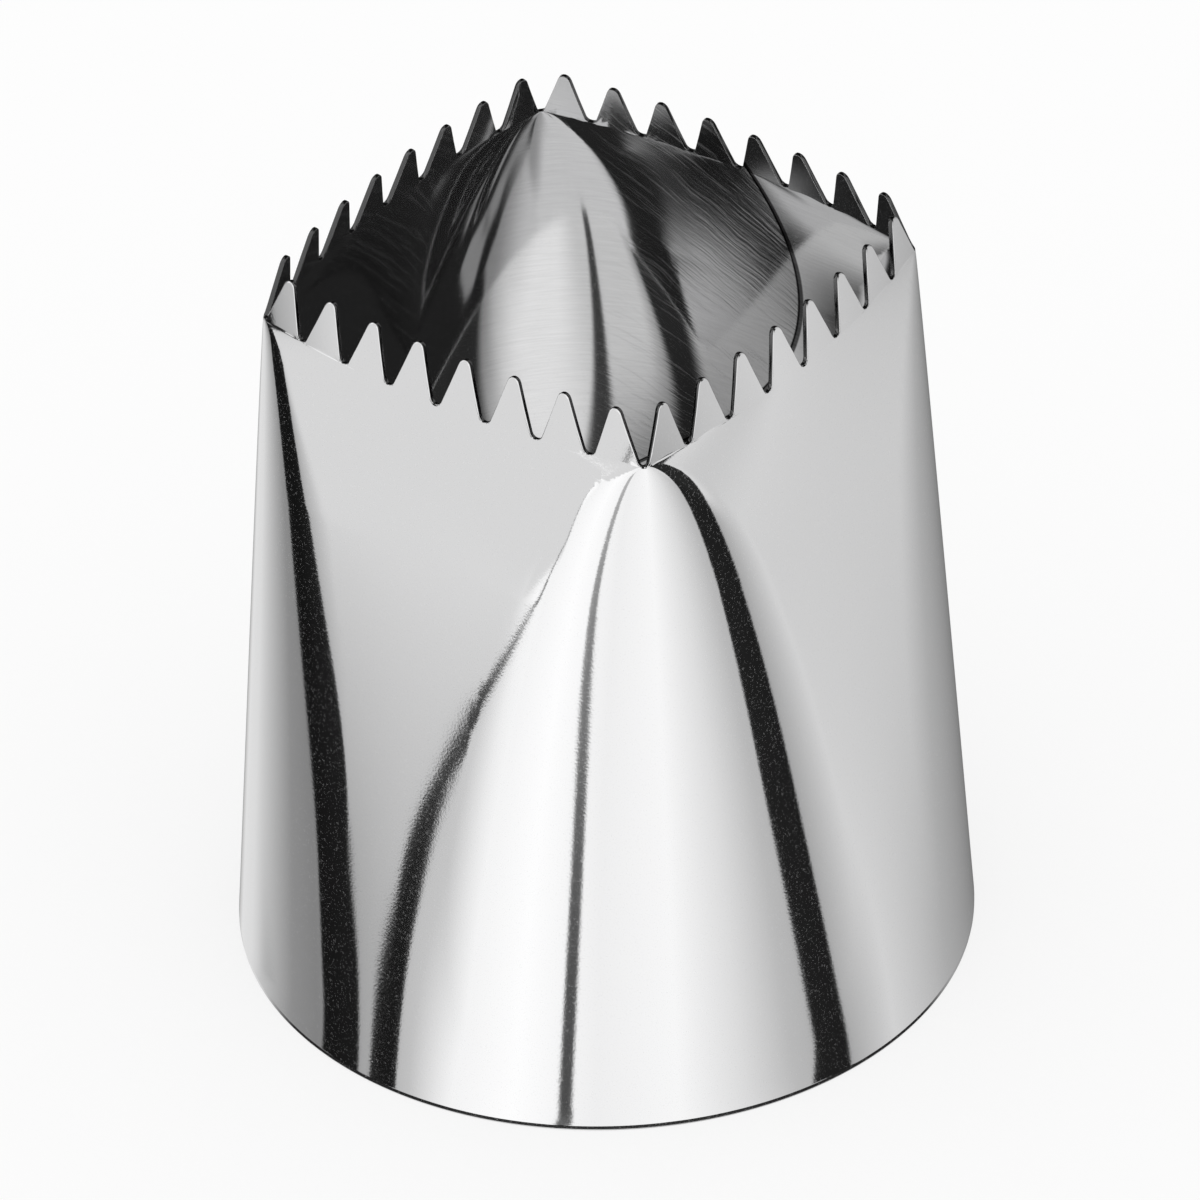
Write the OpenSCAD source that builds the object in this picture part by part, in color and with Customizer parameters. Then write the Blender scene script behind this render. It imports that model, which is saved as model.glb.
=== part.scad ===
// Piping nozzle for pastry work, pressed from one piece of thin stainless sheet.
// The wall runs from a round base to a square outlet with bowed sides and a toothed edge.
// The base stands on z = 0, the nozzle's own axis is Z, and the flats face X and Y.

/* [Base] */
// Outside diameter of the round base
base_d = 60; // [54:1:68]
// Thickness of the sheet
sheet_t = 0.4; // [0.3:0.05:0.6]
// Height of the straight band at the base edge
base_band_h = 0.5; // [0.3:0.1:1.5]

/* [Outlet] */
// Height of the notch bottoms above the base face
notch_root_h = 60.4; // [50:0.2:72]
// Outside distance between opposite sides, at the notch bottoms
across_flats = 40.5; // [39:0.5:43]
// Outside distance between opposite corners, at the notch bottoms
across_corners = 51.3; // [49:0.1:52.5]
// Outside radius of the outlet's corners
outlet_corner_r = 0.9; // [0.7:0.1:2]

/* [Teeth] */
// Teeth along each side of the outlet
teeth_per_side = 8; // [5:1:9]
// Height of the teeth above the notch bottoms
tooth_h = 4.3; // [3:0.1:5]
// Radius of the tooth tips
tip_r = 0.55; // [0.3:0.05:0.8]
// Radius of the notch bottoms
root_r = 0.55; // [0.3:0.05:0.8]
// Inward lean of the teeth at the middle of a side, in degrees
side_lean = 13.6; // [11:0.2:16]
// Inward lean of the corner line above the notch bottoms, in degrees
corner_lean = 11; // [9:0.5:14]

/* [Hidden] */

// How fast the corners sharpen near the outlet: 1 is a steady rate and less is later and faster
corner_growth_power = 0.5;
// Largest share of the room between two straight sides that a corner's rounding takes
corner_fill_share = 0.985;
// How late the sides turn inward: 1 is a steady rate and more is later
late_turn_power = 3;
// Set-in of the wall on the straight band, so that the one stands wholly on the other
wall_set_in = 0.02;
// Drop of the first toothed row of points below the notch bottoms
collar_drop = 0.25;
// Overrun of a cut past the faces that it opens
cut_overrun = 1;
// Heights of the toothed rows, as shares of the way from the collar to the edge
tooth_row_shares = [0, 0.5, 1];
// Rows of points up the wall below the teeth
wall_rows = 11;
// Steps in half of each notch bottom
root_steps = 2;
// Steps in half of each tooth tip
tip_steps = 2;
// Sides of the base circles
round_sides = 128;

sides = 4;
base_r = base_d / 2;
flat_r = across_flats / 2;
corner_reach = across_corners / 2;
wall_r = base_r - wall_set_in;
wall_h = notch_root_h - base_band_h;
diagonal = sqrt(2);
// Share of the sides' inward travel at a steady rate; the rest comes late and ends at the teeth's lean
lean_travel = wall_h * tan(side_lean) / (wall_r - flat_r);
steady_share = (late_turn_power - lean_travel) / (late_turn_power - 1);

// Way up the wall at a height, from 0 at the straight band to 1 at the notch bottoms
function rise_at(z) = (z - base_band_h) / wall_h;

// Distance from the axis to the middle of a side at a height
function flat_at(z) =
    let (rise = rise_at(z))
    let (travel = steady_share * rise + (1 - steady_share) * pow(rise, late_turn_power))
    rise > 1 ? flat_r - (z - notch_root_h) * tan(side_lean) : wall_r - (wall_r - flat_r) * travel;

// Distance from the axis to a corner at a height
function corner_at(z) =
    let (rise = rise_at(z))
    rise > 1
        ? corner_reach - (z - notch_root_h) * tan(corner_lean)
        : wall_r - (wall_r - corner_reach) * rise;

// Rounding of the corners at a height, within what straight sides would leave for it
function rounding_at(z) =
    let (left = 1 - min(1, rise_at(z)))
    let (wanted = outlet_corner_r + (wall_r - outlet_corner_r) * pow(left, corner_growth_power))
    min(wanted, corner_fill_share * (diagonal * flat_at(z) - corner_at(z)) / (diagonal - 1));

// Plan of the wall at a height: [flat, rounding, rounding's centre, side radius, side's half turn]
function plan_at(z) =
    let (flat = flat_at(z))
    let (r = rounding_at(z))
    let (centre = (corner_at(z) - r) / diagonal)
    let (back = centre - flat)
    let (side_r = (r * r - back * back - centre * centre) / (2 * (back + r)))
    [flat, r, centre, side_r, atan2(centre, back + side_r)];

// Length of the plan's outline from the middle of a side to the corner
function half_side_length(plan) = (plan[3] * plan[4] + plan[1] * (45 - plan[4])) * PI / 180;

// Point on the plan of the side that faces +X, from -1 at one corner to 1 at the other
function side_point(plan, place, inset) =
    let (side_run = plan[3] * plan[4] * PI / 180)
    let (run = abs(place) * half_side_length(plan))
    let (on_side = run <= side_run)
    let (turn = on_side ? run / plan[3] * 180 / PI : plan[4] + (run - side_run) / plan[1] * 180 / PI)
    let (r = (on_side ? plan[3] : plan[1]) - inset)
    let (x = (on_side ? plan[0] - plan[3] : plan[2]) + r * cos(turn))
    let (y = (on_side ? 0 : plan[2]) + r * sin(turn))
    [x, place < 0 ? -y : y];

// Point on the wall: side number, place along it, height and inset from the outer face
function wall_point(side, place, z, inset) =
    let (p = side_point(plan_at(z), place, inset))
    let (turn = side * 360 / sides)
    [p[0] * cos(turn) - p[1] * sin(turn), p[0] * sin(turn) + p[1] * cos(turn), z];

// The tooth's outline as [along, up], from the middle of one notch to just before the middle of the next
pitch = 2 * half_side_length(plan_at(notch_root_h)) / teeth_per_side;
centre_rise = tooth_h - tip_r - root_r;
centre_gap = norm([pitch / 2, centre_rise]);
flank_turn = 90 - acos((tip_r + root_r) / centre_gap) + atan2(centre_rise, pitch / 2);
rising_half = concat(
    [for (i = [0:root_steps])
        let (turn = flank_turn * i / root_steps)
        root_r * [sin(turn), 1 - cos(turn)]],
    [for (i = [tip_steps:-1:0])
        let (turn = flank_turn * i / tip_steps)
        [pitch / 2, tooth_h] - tip_r * [sin(turn), 1 - cos(turn)]]
);
half_steps = len(rising_half) - 1;
falling_half = [for (i = [half_steps - 1:-1:1]) [pitch - rising_half[i][0], rising_half[i][1]]];
tooth_outline = concat(rising_half, falling_half);

// Columns of points round the toothed edge: [side, place, height above the notch bottoms]
edge_columns = [
    for (side = [0:sides - 1])
    for (tooth = [0:teeth_per_side - 1])
    for (p = tooth_outline)
    [side, -1 + 2 * (tooth + p[0] / pitch) / teeth_per_side, p[1]]
];
// Columns of points round the wall below, half as many: [side, place]
wall_columns = [
    for (side = [0:sides - 1])
    for (step = [0:teeth_per_side * half_steps - 1])
    [side, -1 + 2 * step / (teeth_per_side * half_steps)]
];

// Heights of the wall's rows, closer together towards the outlet, where the corners sharpen
wall_heights = [for (i = [0:wall_rows - 1]) base_band_h + wall_h * (1 - pow(1 - i / wall_rows, 2))];
collar_z = notch_root_h - collar_drop;

// All points of one face of the sheet, row by row from the base to the edge
function skin_points(inset) = concat(
    [for (z = wall_heights) for (c = wall_columns) wall_point(c[0], c[1], z, inset)],
    [for (share = tooth_row_shares) for (c = edge_columns)
        wall_point(c[0], c[1], collar_z + share * (notch_root_h + c[2] - collar_z), inset)]
);

wall_count = len(wall_columns);
edge_count = len(edge_columns);
edge_start = wall_rows * wall_count;
skin_count = edge_start + len(tooth_row_shares) * edge_count;

// Two triangles between four points
function patch(a, b, c, d) = [[a, b, c], [a, c, d]];

// Triangles between two rows of as many points each
function strip(low, count) = [
    for (j = [0:count - 1])
    let (next = (j + 1) % count)
    each patch(low + j, low + count + j, low + count + next, low + next)
];

// Triangles between the last row of the wall and the first toothed row, which has twice its points
function fan_strip(low, count, high) = [
    for (j = [0:count - 1])
    let (next = (j + 1) % count)
    let (middle = high + 2 * j + 1)
    each [
        [low + j, high + 2 * j, middle],
        [low + j, middle, low + next],
        [low + next, middle, high + 2 * next]
    ]
];

// Triangles of the outer face, then of the inner face, the cut edge and the foot
outer_faces = concat(
    [for (i = [0:wall_rows - 2]) each strip(i * wall_count, wall_count)],
    fan_strip(edge_start - wall_count, wall_count, edge_start),
    [for (i = [0:len(tooth_row_shares) - 2]) each strip(edge_start + i * edge_count, edge_count)]
);
inner_faces = [for (f = outer_faces) [for (i = [2:-1:0]) f[i] + skin_count]];
edge_faces = [
    for (j = [0:edge_count - 1])
    let (a = skin_count - edge_count + j)
    let (b = skin_count - edge_count + (j + 1) % edge_count)
    each patch(a, a + skin_count, b + skin_count, b)
];
foot_faces = [
    for (j = [0:wall_count - 1])
    let (next = (j + 1) % wall_count)
    each patch(j, next, next + skin_count, j + skin_count)
];

// The formed wall, from the straight band up to the toothed edge
module formed_wall() {
    polyhedron(
        points = concat(skin_points(0), skin_points(sheet_t - 2 * wall_set_in)),
        faces = concat(outer_faces, inner_faces, edge_faces, foot_faces)
    );
}

// The straight band at the base, a true cylinder inside and outside
module base_band() {
    difference() {
        cylinder(r = base_r, h = base_band_h, $fn = round_sides);
        translate([0, 0, -cut_overrun])
            cylinder(r = base_r - sheet_t, h = base_band_h + 2 * cut_overrun, $fn = round_sides);
    }
}

// The whole nozzle, one piece of sheet
module nozzle_shell() {
    color("silver")
    union() {
        base_band();
        formed_wall();
    }
}

nozzle_shell();
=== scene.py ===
"""Polished stainless piping nozzle with a toothed square outlet, dressed over its CAD model.

The wall is rebuilt from the CAD model's own dimensions as one smooth sheet, then given its
thickness, its cut edge and three steel finishes. A pale studio and the camera follow.
"""
import logging
import math
from dataclasses import dataclass
from enum import Enum

import bpy
import numpy as np
from mathutils import Matrix, Vector


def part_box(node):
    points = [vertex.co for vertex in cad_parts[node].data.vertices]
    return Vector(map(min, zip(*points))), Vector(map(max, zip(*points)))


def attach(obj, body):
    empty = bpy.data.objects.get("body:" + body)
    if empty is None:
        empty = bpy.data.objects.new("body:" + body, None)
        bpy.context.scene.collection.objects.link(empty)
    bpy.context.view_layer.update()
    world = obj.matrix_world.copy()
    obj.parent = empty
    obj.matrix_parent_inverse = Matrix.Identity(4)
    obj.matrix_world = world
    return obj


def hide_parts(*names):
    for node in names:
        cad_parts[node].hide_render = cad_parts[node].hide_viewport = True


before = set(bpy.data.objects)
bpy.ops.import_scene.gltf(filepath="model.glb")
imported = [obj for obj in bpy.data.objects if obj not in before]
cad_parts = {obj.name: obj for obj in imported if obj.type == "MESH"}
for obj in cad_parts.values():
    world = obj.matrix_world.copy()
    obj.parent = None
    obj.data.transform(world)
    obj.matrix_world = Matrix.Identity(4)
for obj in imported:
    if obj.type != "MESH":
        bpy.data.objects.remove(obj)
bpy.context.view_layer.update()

MM = 0.001
FULL_TURN = 360.0
DEGREES = 180.0 / math.pi
WHITE = (1.0, 1.0, 1.0, 1.0)
BLACK = (0.0, 0.0, 0.0, 1.0)

log = logging.getLogger("nozzle")


class Finish(Enum):
    """The three finishes of the sheet, in the order of the piece's material slots."""

    OUTSIDE = 0
    INSIDE = 1
    CUT_EDGE = 2


class Signal:
    """A number carried by a shader socket, so that shader maths reads as plain Python."""

    def __init__(self, bench: "NodeBench", socket: bpy.types.NodeSocket) -> None:
        """Wraps one output socket of a tree."""
        self.bench = bench
        self.socket = socket

    def __add__(self, other: "Signal | float") -> "Signal":
        """Sum."""
        return self.bench.math("ADD", self, other)

    __radd__ = __add__

    def __sub__(self, other: "Signal | float") -> "Signal":
        """Difference."""
        return self.bench.math("SUBTRACT", self, other)

    def __rsub__(self, other: "Signal | float") -> "Signal":
        """Difference from a plain number."""
        return self.bench.math("SUBTRACT", other, self)

    def __mul__(self, other: "Signal | float") -> "Signal":
        """Product."""
        return self.bench.math("MULTIPLY", self, other)

    __rmul__ = __mul__

    def __truediv__(self, other: "Signal | float") -> "Signal":
        """Quotient."""
        return self.bench.math("DIVIDE", self, other)

    def __pow__(self, other: "Signal | float") -> "Signal":
        """Power."""
        return self.bench.math("POWER", self, other)

    def __abs__(self) -> "Signal":
        """Size without the sign."""
        return self.bench.math("ABSOLUTE", self)

    def between(self, start: float, end: float) -> "Signal":
        """Smooth step from 0 at start to 1 at end; end may be the smaller one."""
        node = self.bench.add(
            "ShaderNodeMapRange",
            {"interpolation_type": "SMOOTHSTEP"},
            {"Value": self, "From Min": start, "From Max": end},
        )
        return Signal(self.bench, node.outputs["Result"])

    def without(self, share: "Signal") -> "Signal":
        """What is left when a share from 0 to 1 is taken away."""
        return self * (1.0 - share)

    def toward(self, tone: "Signal | float", share: "Signal") -> "Signal":
        """Moves to another tone by a share from 0 to 1."""
        return self.without(share) + share * tone


@dataclass(frozen=True)
class Step:
    """A soft step in a tone.

    Attributes:
        start: Up to where it is nothing.
        end: From where on it is full, on either side of the start.
        share: How much it is when full.
    """

    start: float
    end: float
    share: float = 1.0

    def of(self, place: Signal) -> Signal:
        """How much the step is at a place."""
        rise = place.between(self.start, self.end)
        return rise if self.share == 1.0 else rise * self.share


@dataclass(frozen=True)
class Both:
    """Two soft steps that have to hold together, each by its own measure."""

    first: Step
    second: Step

    def of(self, first: Signal, second: Signal) -> Signal:
        """How much they leave at a place, by both measures."""
        return self.first.of(first) * self.second.of(second)


class NodeBench:
    """Adds nodes to one tree and wires them up."""

    def __init__(self, tree: bpy.types.NodeTree) -> None:
        """Clears the tree and keeps it."""
        tree.nodes.clear()
        self.tree = tree

    def add(self, kind: str, settings: dict | None = None, sockets: dict | None = None) -> bpy.types.Node:
        """Adds one node.

        Args:
            kind: The node's type, such as ShaderNodeMath.
            settings: The node's own properties, which are set first.
            sockets: A value, a Signal or an output socket for each input, by name or number.

        Returns:
            The node.
        """
        node = self.tree.nodes.new(kind)
        for name, value in (settings or {}).items():
            if name == "stops":
                self._set_stops(node.color_ramp, value)
            else:
                setattr(node, name, value)
        for name, value in (sockets or {}).items():
            if isinstance(value, Signal):
                value = value.socket
            socket = self._input(node, name)
            if isinstance(value, bpy.types.NodeSocket):
                self.tree.links.new(value, socket)
            else:
                socket.default_value = value
        return node

    @staticmethod
    def _input(node: bpy.types.Node, name: str | int) -> bpy.types.NodeSocket:
        """The input of that name or number; of those that share a name, the one in use."""
        if isinstance(name, int):
            return node.inputs[name]
        return next(socket for socket in node.inputs if socket.name == name and socket.enabled)

    def math(self, operation: str, *values: "Signal | float") -> Signal:
        """One Math node on values and signals."""
        node = self.add("ShaderNodeMath", {"operation": operation}, dict(enumerate(values)))
        return Signal(self, node.outputs[0])

    def larger(self, first: "Signal | float", second: "Signal | float") -> Signal:
        """The larger of two numbers."""
        return self.math("MAXIMUM", first, second)

    def smaller(self, first: "Signal | float", second: "Signal | float") -> Signal:
        """The smaller of two numbers."""
        return self.math("MINIMUM", first, second)

    def distance(self, across: Signal, along: Signal) -> Signal:
        """Straight distance over two lengths that are square to each other."""
        return self.math("SQRT", across * across + along * along)

    def ramp(
        self, place: Signal, stops: list[tuple[float, tuple[float, float, float]]], smooth: bool = False
    ) -> bpy.types.NodeSocket:
        """Colour ramp.

        Args:
            place: Where it is read, from 0 to 1.
            stops: Places in rising order, each with its colour.
            smooth: Whether it is one smooth curve rather than straight runs.

        Returns:
            The colour there.
        """
        node = self.add("ShaderNodeValToRGB", {"stops": stops}, {"Fac": place})
        node.color_ramp.interpolation = "B_SPLINE" if smooth else "LINEAR"
        return node.outputs["Color"]

    def mix(self, share: Signal, first: tuple[float, ...], second: tuple[float, ...]) -> bpy.types.NodeSocket:
        """Colour between two, by the share of the second."""
        node = self.add("ShaderNodeMix", {"data_type": "RGBA"}, {"Factor": share, "A": first, "B": second})
        return next(socket for socket in node.outputs if socket.enabled)

    def channels(self, colour: bpy.types.NodeSocket) -> list[Signal]:
        """The three channels of a colour or a vector as numbers."""
        node = self.add("ShaderNodeSeparateXYZ", None, {0: colour})
        return [Signal(self, socket) for socket in node.outputs]

    def noise(self, vector: bpy.types.NodeSocket, scale: float, detail: float) -> Signal:
        """Noise on a vector.

        Args:
            vector: Where it is read.
            scale: Its waves in a metre.
            detail: Finer layers in it.

        Returns:
            The noise, from 0 to 1.
        """
        node = self.add("ShaderNodeTexNoise", None, {"Vector": vector, "Scale": scale, "Detail": detail})
        return Signal(self, node.outputs["Fac"])

    @staticmethod
    def _set_stops(ramp: bpy.types.ColorRamp, stops: list[tuple[float, tuple[float, float, float]]]) -> None:
        """Gives a colour ramp its stops, in rising order."""
        while len(ramp.elements) > 1:
            ramp.elements.remove(ramp.elements[-1])
        ramp.elements[0].position = stops[0][0]
        ramp.elements[0].color = (*stops[0][1], 1.0)
        for position, colour in stops[1:]:
            ramp.elements.new(position).color = (*colour, 1.0)


@dataclass(frozen=True)
class PaintedShadeAndScratches:
    """Painted shade along a mark on the inside of the side that faces +Y, with scratches beside it.

    Attributes:
        reach: Largest distance of the mark from the middle of the side.
        level: Height at which it is that far out.
        bow: How fast it curves back above and below that height, per metre.
        width: Width of the painted dark line.
        line_shade: How much the painted line darkens the steel, from 0 to 1.
        painted_shade: Width of the strip of painted shade beside it.
        shade_core: Share of the strip, next to the line, where the painted shade is darkest.
        strip_shade: How much the painted shade in the strip darkens the steel, from 0 to 1.
        corner_gap: How far from the corners the marks start and are full.
        scratches: Depth of the scratches beside the line.
        scratched: Where they start and are full, in widths of the strip from the line.
        scratch_scale: Scratches in a metre, across them.
        scratch_stretch: Share of that scale along them.
        scratch_slant: How far they climb for each metre along the side.
        scratch_skew: How their ends shift for each metre up the wall.
        wave: How far they wander from a straight line.
        wave_scale: Their bends in a metre.
        matt: How matt they are, from 0 to 1.
        matt_from: From what height of the noise they are matt.
    """

    reach: float = 4.0 * MM
    level: float = 50.0 * MM
    bow: float = 27.0
    width: float = 0.35 * MM
    line_shade: float = 0.8
    painted_shade: float = 14.0 * MM
    shade_core: float = 0.125
    strip_shade: float = 0.35
    corner_gap: Step = Step(4.0 * MM, 9.0 * MM)
    scratches: float = 0.004 * MM
    scratched: tuple[float, float] = (1.6, 0.4)
    scratch_scale: float = 3200.0
    scratch_stretch: float = 0.05
    scratch_slant: float = 0.6
    scratch_skew: float = 0.7
    wave: float = 2.0 * MM
    wave_scale: float = 160.0
    matt: float = 0.3
    matt_from: Step = Step(0.52, 0.7)

    def marks(self, bench: NodeBench, place: bpy.types.NodeSocket) -> tuple[Signal, Signal, Signal]:
        """Paints shade on the steel along the mark, and scratches it.

        Args:
            bench: The material's tree.
            place: Object coordinates.

        Returns:
            How much the painted shade darkens the steel, from 0 to 1, the height of its scratches in metres,
            and where they are matt, from 0 to 1.
        """
        x, y, z = bench.channels(place)
        side = self.corner_gap.of(y - abs(x))
        climb = z - self.level
        past = x - self.reach + climb * climb * self.bow
        half = self.width / 2.0
        before = past.between(half, -half)
        # Painted shade: a dark line along the mark and a darker strip beside it.
        line = abs(past - half).between(self.width, half) * self.line_shade
        strip = past.between(-self.painted_shade, -self.painted_shade * self.shade_core) * before * self.strip_shade
        start, full = self.scratched
        worn = side * past.between(-start * self.painted_shade, -full * self.painted_shade) * before
        wave = bench.noise(place, self.wave_scale, 2.0) * self.wave
        along = (x - z * self.scratch_skew) * self.scratch_stretch
        across = x * self.scratch_slant + z + wave
        grid = bench.add("ShaderNodeCombineXYZ", None, {0: along, 1: y * self.scratch_stretch, 2: across})
        scratches = bench.noise(grid.outputs["Vector"], self.scratch_scale, 3.0)
        return side * (line + strip), worn * scratches * self.scratches, worn * self.matt_from.of(scratches)


@dataclass(frozen=True)
class PolishedSteel:
    """A steel finish: how bright, how glossy and how worked its surface is.

    Attributes:
        name: The material's name.
        reflectance: Share of the light that the metal returns.
        roughness: Roughness of the polish between its scratches.
        speckle: Extra roughness in the finest flecks.
        grain: Depth of the fine grain.
        brushing: Depth of the level brush lines.
        dust: How matt the finest flecks are, from 0 to 1.
        streaks: Share by which the level brush lines darken the steel.
        shade_and_scratches: The painted shade and scratches along a mark, if this finish carries them.
        grain_scale: Grains and brush lines in a metre.
        brush_stretch: Share of that scale along the brush lines.
        cloud_scale: Clouds of more and less gloss in a metre.
        cloud_share: How much rougher a cloud is, as a share of the roughness.
        flecks: From what height of the grain it counts as a fleck.
        coolness: How much more blue than red the metal returns.
    """

    name: str
    reflectance: float
    roughness: float
    speckle: float
    grain: float
    brushing: float = 0.0
    dust: float = 0.05
    streaks: float = 0.0
    shade_and_scratches: PaintedShadeAndScratches | None = None
    grain_scale: float = 5200.0
    brush_stretch: float = 0.06
    cloud_scale: float = 90.0
    cloud_share: float = 0.3
    flecks: Step = Step(0.55, 0.75)
    coolness: float = 1.005

    def material(self) -> bpy.types.Material:
        """Builds the finish.

        Returns:
            A node material.
        """
        steel = bpy.data.materials.new(self.name)
        steel.use_nodes = True
        bench = NodeBench(steel.node_tree)
        place = bench.add("ShaderNodeTexCoord").outputs["Object"]
        stretch = (self.brush_stretch, self.brush_stretch, 1.0)
        mapping = bench.add("ShaderNodeMapping", None, {"Vector": place, "Scale": stretch})
        lines = bench.noise(mapping.outputs["Vector"], self.grain_scale, 3.0)
        grain = bench.noise(place, self.grain_scale, 2.0)
        cloud = bench.noise(place, self.cloud_scale, 3.0)
        flecks = self.flecks.of(grain)
        rough = self.roughness + flecks * self.speckle + cloud * (self.cloud_share * self.roughness)
        height = lines * self.brushing + grain * self.grain
        dark, matt = lines * self.streaks, flecks * self.dust
        # The inside finish adds painted shade along a mark to the darkening of its base colour.
        if self.shade_and_scratches:
            painted_shade, scratches, matt_scratches = self.shade_and_scratches.marks(bench, place)
            dark, height, matt = dark + painted_shade, height + scratches, matt + matt_scratches * self.shade_and_scratches.matt
        tint = (self.reflectance, self.reflectance, self.reflectance * self.coolness, 1.0)
        bump = bench.add("ShaderNodeBump", None, {"Height": height, "Distance": 1.0, "Strength": 1.0})
        shader = bench.add(
            "ShaderNodeBsdfPrincipled",
            {"distribution": "MULTI_GGX"},
            {
                "Base Color": bench.mix(dark, tint, BLACK),
                "Metallic": 1.0 - matt,
                "Roughness": rough,
                "Normal": bump.outputs["Normal"],
            },
        )
        bench.add("ShaderNodeOutputMaterial", None, {"Surface": shader.outputs["BSDF"]})
        return steel


@dataclass(frozen=True)
class NozzleForm:
    """The nozzle's outer face as a formula, in metres, with the same dimensions as its CAD model.

    Attributes:
        base_r: Radius of the round base.
        top_z: Height of the tooth tips.
        sheet_t: Thickness of the sheet.
        band_h: Height of the straight band at the base.
        tooth_h: Height of the teeth.
        flat_r: Distance from the axis to the middle of a side, at the notch bottoms.
        corner_reach: The same to a corner.
        corner_r: Radius of the outlet's corners.
        teeth: Teeth along each side.
        tip_r: Radius of the tooth tips.
        root_r: Radius of the notch bottoms.
        side_lean: Inward lean of the teeth at the middle of a side, in radians.
        corner_lean: The same of the corner line.
        corner_power: How late and fast the corners sharpen near the outlet.
        fill_share: Largest share of the room between straight sides that a corner's rounding takes.
        late_power: How late the sides turn inward.
        crease_drop: Drop of the crease where the corners' cones end, below the notch bottoms.
        feel: Small rise over which the wall's slope is felt out.
        steepest: Largest inward slope that the shading follows, so that the crease does not glint.
    """

    base_r: float
    top_z: float
    sheet_t: float = 0.4 * MM
    band_h: float = 0.5 * MM
    tooth_h: float = 4.3 * MM
    flat_r: float = 20.25 * MM
    corner_reach: float = 25.65 * MM
    corner_r: float = 0.9 * MM
    teeth: int = 8
    tip_r: float = 0.55 * MM
    root_r: float = 0.55 * MM
    side_lean: float = math.radians(13.6)
    corner_lean: float = math.radians(11.0)
    corner_power: float = 0.5
    fill_share: float = 0.985
    late_power: float = 3.0
    crease_drop: float = 0.06 * MM
    feel: float = 0.02 * MM
    steepest: float = 0.3

    SIDES = 4

    @property
    def root_z(self) -> float:
        """Height of the notch bottoms."""
        return self.top_z - self.tooth_h

    def plan(self, z: np.ndarray) -> tuple[np.ndarray, ...]:
        """Plan of the wall at some heights.

        Args:
            z: Heights above the base.

        Returns:
            Distance to the side's middle, rounding, rounding's centre, side radius and the side's half turn.
        """
        wall_h = self.root_z - self.band_h
        rise = np.clip((z - self.band_h) / wall_h, 0.0, 1.0)
        above = np.maximum(z - self.root_z, 0.0)
        travel = self.base_r - self.flat_r
        steady = (self.late_power - wall_h * math.tan(self.side_lean) / travel) / (self.late_power - 1.0)
        flat = self.base_r - travel * (steady * rise + (1.0 - steady) * rise**self.late_power)
        flat = flat - above * math.tan(self.side_lean)
        corner = self.base_r - (self.base_r - self.corner_reach) * rise - above * math.tan(self.corner_lean)
        below = np.clip((self.root_z - self.crease_drop - z) / wall_h, 0.0, 1.0)
        wanted = self.corner_r + (self.base_r - self.corner_r) * below**self.corner_power
        room = (math.sqrt(2.0) * flat - corner) / (math.sqrt(2.0) - 1.0)
        rounding = np.minimum(wanted, self.fill_share * room)
        centre = (corner - rounding) / math.sqrt(2.0)
        back = centre - flat
        side_r = (rounding**2 - back**2 - centre**2) / (2.0 * (back + rounding))
        return flat, rounding, centre, side_r, np.arctan2(centre, back + side_r)

    def half_side(self, z: np.ndarray) -> np.ndarray:
        """Length along the wall from the middle of a side to the corner."""
        _, rounding, _, side_r, turn = self.plan(z)
        return side_r * turn + rounding * (math.pi / 4.0 - turn)

    def points(self, side: np.ndarray, place: np.ndarray, z: np.ndarray) -> np.ndarray:
        """Points on the outer face.

        Args:
            side: Number of the side, from 0 for the one that faces +X.
            place: Place along the side, from -1 at one corner to 1 at the next.
            z: Height above the base.

        Returns:
            One row of x, y and z for each point.
        """
        flat, rounding, centre, side_r, turn = self.plan(z)
        run = np.abs(place) * (side_r * turn + rounding * (math.pi / 4.0 - turn))
        on_side = run <= side_r * turn
        angle = np.where(on_side, run / side_r, turn + (run - side_r * turn) / rounding)
        r = np.where(on_side, side_r, rounding)
        x = np.where(on_side, flat - side_r, centre) + r * np.cos(angle)
        y = (np.where(on_side, 0.0, centre) + r * np.sin(angle)) * np.where(place < 0.0, -1.0, 1.0)
        bearing = side * (2.0 * math.pi / self.SIDES)
        return np.stack(
            [x * np.cos(bearing) - y * np.sin(bearing), x * np.sin(bearing) + y * np.cos(bearing), z], axis=-1
        )

    def facing(self, points: np.ndarray, above: np.ndarray) -> np.ndarray:
        """Outward directions of the wall at some points of its outer or inner face.

        Args:
            points: One row of x, y and z for each point.
            above: Whether each point is taken with the teeth rather than with the wall under the crease.

        Returns:
            One unit vector for each point.
        """
        quarter = 2.0 * math.pi / self.SIDES
        bearing = np.rint(np.arctan2(points[:, 1], points[:, 0]) / quarter) * quarter
        x = points[:, 0] * np.cos(bearing) + points[:, 1] * np.sin(bearing)
        y = points[:, 1] * np.cos(bearing) - points[:, 0] * np.sin(bearing)
        crease_z = self.root_z - self.crease_drop
        below_z = np.minimum(points[:, 2], crease_z - self.feel)
        z = np.where(above, np.maximum(points[:, 2], crease_z), below_z)
        out_x, out_y, here = self._reach(x, np.abs(y), z)
        *_, higher = self._reach(x, np.abs(y), z + self.feel)
        out_y = out_y * np.where(y < 0.0, -1.0, 1.0)
        turned = (
            out_x * np.cos(bearing) - out_y * np.sin(bearing),
            out_x * np.sin(bearing) + out_y * np.cos(bearing),
            np.minimum((higher - here) / self.feel, self.steepest),
        )
        facing = np.stack(turned, axis=-1)
        return facing / np.linalg.norm(facing, axis=1, keepdims=True)

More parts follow.
